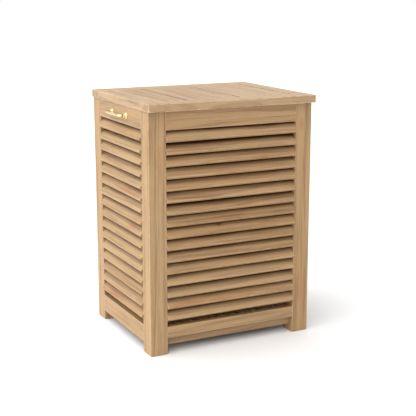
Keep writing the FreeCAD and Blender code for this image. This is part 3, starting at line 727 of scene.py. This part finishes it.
def build_lid():
    lid_low = box("lid_front_rail")[0]
    for depth in ("front", "rear"):
        node = f"lid_{depth}_rail"
        special = {f"{depth}_top": LID_EDGE, "left_top": LID_EDGE, "right_top": LID_EDGE,
                   f"{depth}_left": LID_EDGE, f"{depth}_right": LID_EDGE,
                   f"{depth}_bottom": LID_UNDER_EDGE, "left_bottom": LID_UNDER_EDGE,
                   "right_bottom": LID_UNDER_EDGE}
        low, high = box(node)
        cuts = hinge_seats(lid_low[2], "lid") if depth == "rear" else ()
        radii = rounding(PLANK_EDGE / 2, **special)
        timber(node, board(low, high, 0, radii, cuts=cuts, quarter=QUARTER_RAIL))
    front, rear = box("lid_front_rail")[1][1], box("lid_rear_rail")[0][1]
    for side in ("left", "right"):
        node = f"lid_{side}_stile"
        low, high = box(node)
        low[1], high[1] = front, rear
        radii = rounding(SHOULDER_EDGE, **{f"{side}_top": LID_EDGE, f"{side}_bottom": LID_UNDER_EDGE})
        inner = [high[0] if side == "left" else low[0]]
        # Painted shade on the stile's side that faces a joint
        dark = joint_sides(inner, high[2])
        timber(node, board(low, high, 1, radii, quarter=QUARTER_RAIL, recess=dark))
    radii = rounding(SHOULDER_EDGE, left_top=PLANK_EDGE, right_top=PLANK_EDGE)
    for node in nodes_named("lid_plank_"):
        low, high = box(node)
        low[1], high[1] = front, rear
        # Painted shade on the plank's sides that face joints
        dark = joint_sides((low[0], high[0]), high[2])
        timber(node, board(low, high, 1, radii, quarter=QUARTER_PLANK, recess=dark))


# ---------------------------------------------------------------- brass and steel


def walls(rings, sides, start=0):
    """The four-sided faces between rings of points that follow one another."""
    faces = []
    for here in range(start, start + (rings - 1) * sides, sides):
        for step in range(sides):
            after = (step + 1) % sides
            faces.append((here + step, here + sides + step, here + sides + after, here + after))
    return faces


def tube(path, directions, radius):
    """A round bar along a path, closed at both ends."""
    points = []
    for centre, direction in zip(path, directions):
        direction = Vector(direction).normalized()
        second = direction.cross(Vector((0, 0, 1))).normalized()
        third = direction.cross(second)
        for step in range(BAR_SIDES):
            angle = 2 * math.pi * step / BAR_SIDES
            out = second * math.cos(angle) + third * math.sin(angle)
            points.append(tuple(Vector(centre) + out * float(radius)))
    faces = walls(len(path), BAR_SIDES)
    faces.append(tuple(range(BAR_SIDES)))
    faces.append(tuple(reversed(range(len(points) - BAR_SIDES, len(points)))))
    return points, faces


def square_to(direction):
    """A direction at unit length, and two more at right angles to it and to each other."""
    direction = Vector(direction).normalized()
    second = direction.orthogonal().normalized()
    return direction, second, direction.cross(second)


def turned(profile, base, direction):
    """A lathe-turned shape: a closed profile of (radius, height) round a line from base."""
    direction, second, third = square_to(direction)
    points, faces = [], []
    for step in range(TURNED_SIDES):
        angle = 2 * math.pi * step / TURNED_SIDES
        out = second * math.cos(angle) + third * math.sin(angle)
        for radius, height in profile:
            points.append(tuple(Vector(base) + out * float(radius) + direction * float(height)))
    count = len(profile)
    for step in range(TURNED_SIDES):
        here, there = step * count, (step + 1) % TURNED_SIDES * count
        for corner in range(count):
            after = (corner + 1) % count
            faces.append((here + corner, there + corner, there + after, here + after))
    return points, faces


def screw(seat, direction, head, length, proud):
    """A countersunk wood screw with a cross recess, whose head stands proud of its seat."""
    direction, second, third = square_to(direction)

    def at(across, up, height):
        return tuple(Vector(seat) + second * across + third * up + direction * height)

    shank = SHANK * head
    turns = [2 * math.pi * step / HEAD_SIDES for step in range(HEAD_SIDES)]
    circle = [(math.cos(turn), math.sin(turn)) for turn in turns]
    rings = ((SCREW_TIP * shank, -length), (shank, SCREW_POINT - length), (shank, shank - head),
             (head, 0), (head, HEAD_SHOULDER * proud), (HEAD_FLAT * head, proud))
    points = [at(radius * x, radius * y, height) for radius, height in rings for x, y in circle]
    faces = [tuple(range(HEAD_SIDES)), *walls(len(rings), HEAD_SIDES)]

    long, narrow = CROSS_LENGTH * head, CROSS_WIDTH * head
    outline = [(long, -narrow), (long, narrow), (narrow, narrow)]
    for _ in range(3):
        outline += [(-y, x) for x, y in outline[-3:]]
    rim, top = len(points) - HEAD_SIDES, len(points)
    bottom = top + len(outline)
    points += [at(x, y, proud) for x, y in outline]
    points += [at(CROSS_TAPER * x, CROSS_TAPER * y, CROSS_FLOOR * proud) for x, y in outline]
    flat = [[Vector((x, y, 0)) * HEAD_FLAT * head for x, y in circle],
            [Vector((x, y, 0)) for x, y in outline]]
    corners = range(rim, bottom)
    faces += [tuple(corners[corner] for corner in face) for face in tessellate_polygon(flat)]
    faces += walls(2, len(outline), top)
    faces.append(tuple(range(bottom, bottom + len(outline))))
    return points, faces


def all_outward(made):
    """Turns every face of closed pieces outwards."""
    shape = bmesh.new()
    shape.from_mesh(made.data)
    bmesh.ops.recalc_face_normals(shape, faces=shape.faces)
    shape.to_mesh(made.data)
    shape.free()
    return made


def arc(centre, radius, start, end, steps=5):
    """Points of an arc in a profile; angles in degrees."""
    angles = [math.radians(start + (end - start) * step / steps) for step in range(steps + 1)]
    return [(centre[0] + radius * math.cos(a), centre[1] + radius * math.sin(a)) for a in angles]


def rose_profile(bore, rose, tall):
    """Half the section of a handle's rose: a rounded rim, a small step, a cove and a lip."""
    rim = arc((rose - RIM_ROUND, RIM_HEIGHT - RIM_ROUND), RIM_ROUND, 0, 90)
    step = (rose - STEP_IN, RIM_HEIGHT + STEP_UP)
    cove = arc((rose - COVE_IN, tall - COVE_DOWN), COVE_RADIUS, 262, 190, 8)
    lip = arc((LIP_OUT, tall - LIP_DOWN), LIP_RADIUS, -60, 80)
    return [(bore, 0), (rose, 0), *rim, step, *cove, *lip, (bore, tall)]


def build_handles():
    for side, out in (("left", -1), ("right", 1)):
        low, high = box(f"{side}_handle_bar")
        radius = (high[2] - low[2]) / 2
        level = (low[2] + high[2]) / 2
        face, grip = (high[0], low[0]) if side == "left" else (low[0], high[0])
        middle = grip - out * radius
        foot = high[1] - radius
        path, directions = [(face, -foot, level)], [(out, 0, 0)]
        for step in range(BEND_STEPS + 1):
            angle = math.radians(90 * step / BEND_STEPS)
            short, along = BAR_BEND * (1 - math.sin(angle)), BAR_BEND * (1 - math.cos(angle))
            path.append((middle - out * short, along - foot, level))
            directions.append((out * math.cos(angle), math.sin(angle), 0))
        mirrored = [(x, -y, z) for x, y, z in reversed(path)]
        back = [(-x, y, z) for x, y, z in reversed(directions)]
        bar = tube(path + mirrored, directions + back, radius)
        place(mesh_object(f"{side}_handle_bar_brass", *bar), METAL["brass"], f"{side}_handle_bar")

        rose_low, rose_high = box(f"{side}_handle_roses")
        rose = (rose_high[2] - rose_low[2]) / 2
        profile = rose_profile(radius + BORE_GAP, rose, rose_high[0] - rose_low[0])
        roses = [turned(profile, (face, y, level), (out, 0, 0)) for y in (-foot, foot)]
        made = mesh_object(f"{side}_handle_roses_brass", *joined(roses))
        place(made, METAL["brass"], f"{side}_handle_roses")


def build_screws():
    """The deck's screws from above, and the handles' from inside the box."""
    deck, handle = [], []
    for triangles in solids("deck_screws"):
        low, high = triangles.min((0, 1)), triangles.max((0, 1))
        head = (high[0] - low[0]) / 2
        seat = ((low[0] + high[0]) / 2, (low[1] + high[1]) / 2, high[2])
        deck.append(screw(seat, (0, 0, 1), head, high[2] - low[2], DECK_HEAD_PROUD))
    for triangles in solids("handle_screws"):
        low, high = triangles.min((0, 1)), triangles.max((0, 1))
        head = (high[2] - low[2]) / 2
        if low[0] < 0:
            inward, rail, tip, top = 1, box("left_top_rail")[1][0], low[0], high[0]
        else:
            inward, rail, tip, top = -1, box("right_top_rail")[0][0], high[0], low[0]
        seat = (rail, (low[1] + high[1]) / 2, (low[2] + high[2]) / 2)
        handle.append(screw(seat, (inward, 0, 0), head, abs(rail - tip), abs(top - rail)))
    for node, screws in (("deck_screws", deck), ("handle_screws", handle)):
        made = all_outward(mesh_object(f"{node}_steel", *joined(screws)))
        place(made, METAL["stainless_steel"], node)


def dress_hinges():
    """Gives the CAD pieces that keep their own shape their metal: the hinges and their screws."""
    for node, shape in frame["nodes"].items():
        if SLOT[node] in METAL and not shape.hide_render:
            shape.data.materials.clear()
            shape.data.materials.append(METAL[SLOT[node]])


# ---------------------------------------------------------------- floor, light and camera


def build_floor():
    far = FLOOR_REACH
    corners = [(-far, -far, 0), (far, -far, 0), (far, far, 0), (-far, far, 0)]
    floor = mesh_object("floor", corners, [(0, 1, 2, 3)])
    s = Surface("floor")
    floor.data.materials.append(s.finish(base_color=FLOOR_TONE, roughness=FLOOR_ROUGHNESS))


def build_world():
    """A broad glow from above on the left, a faint one from behind, and white below the horizon."""
    world = bpy.data.worlds.new("studio")
    world.use_nodes = True
    s = Nodes(world.node_tree)
    towards = s.node("TexCoord", {}).outputs["Generated"]
    glows = []
    for direction, reach, strengths in (KEY_GLOW, BACK_GLOW):
        beside = s.node("VectorMath", {0: towards, 1: direction}, operation="DOT_PRODUCT")
        glows.append(s.between(beside.outputs["Value"], *reach, *strengths))
    above = s.maths("GREATER_THAN", s.node("SeparateXYZ", {0: towards}).outputs["Z"], 0)
    strength = s.node("Mix", {0: above, 2: STRENGTH_BELOW, 3: s.maths("ADD", *glows)}).outputs[0]
    background = world.node_tree.nodes["Background"]
    s.give(background.inputs["Color"], WHITE)
    s.give(background.inputs["Strength"], strength)
    bpy.context.scene.world = world


def build_camera():
    data = bpy.data.cameras.new("camera")
    data.sensor_width, data.lens = FILM, LENS
    camera = bpy.data.objects.new("camera", data)
    camera.location = CAMERA_PLACE
    camera.rotation_euler = Euler((math.radians(CAMERA_RISE), 0, math.radians(CAMERA_TURN)), "XYZ")
    bpy.context.scene.collection.objects.link(camera)
    bpy.context.scene.camera = camera


build_legs()
build_rails()
build_slats()
build_deck()
build_lid()
build_handles()
build_screws()
dress_hinges()
build_floor()
build_world()
build_camera()
bpy.context.scene.view_settings.view_transform = "Standard"
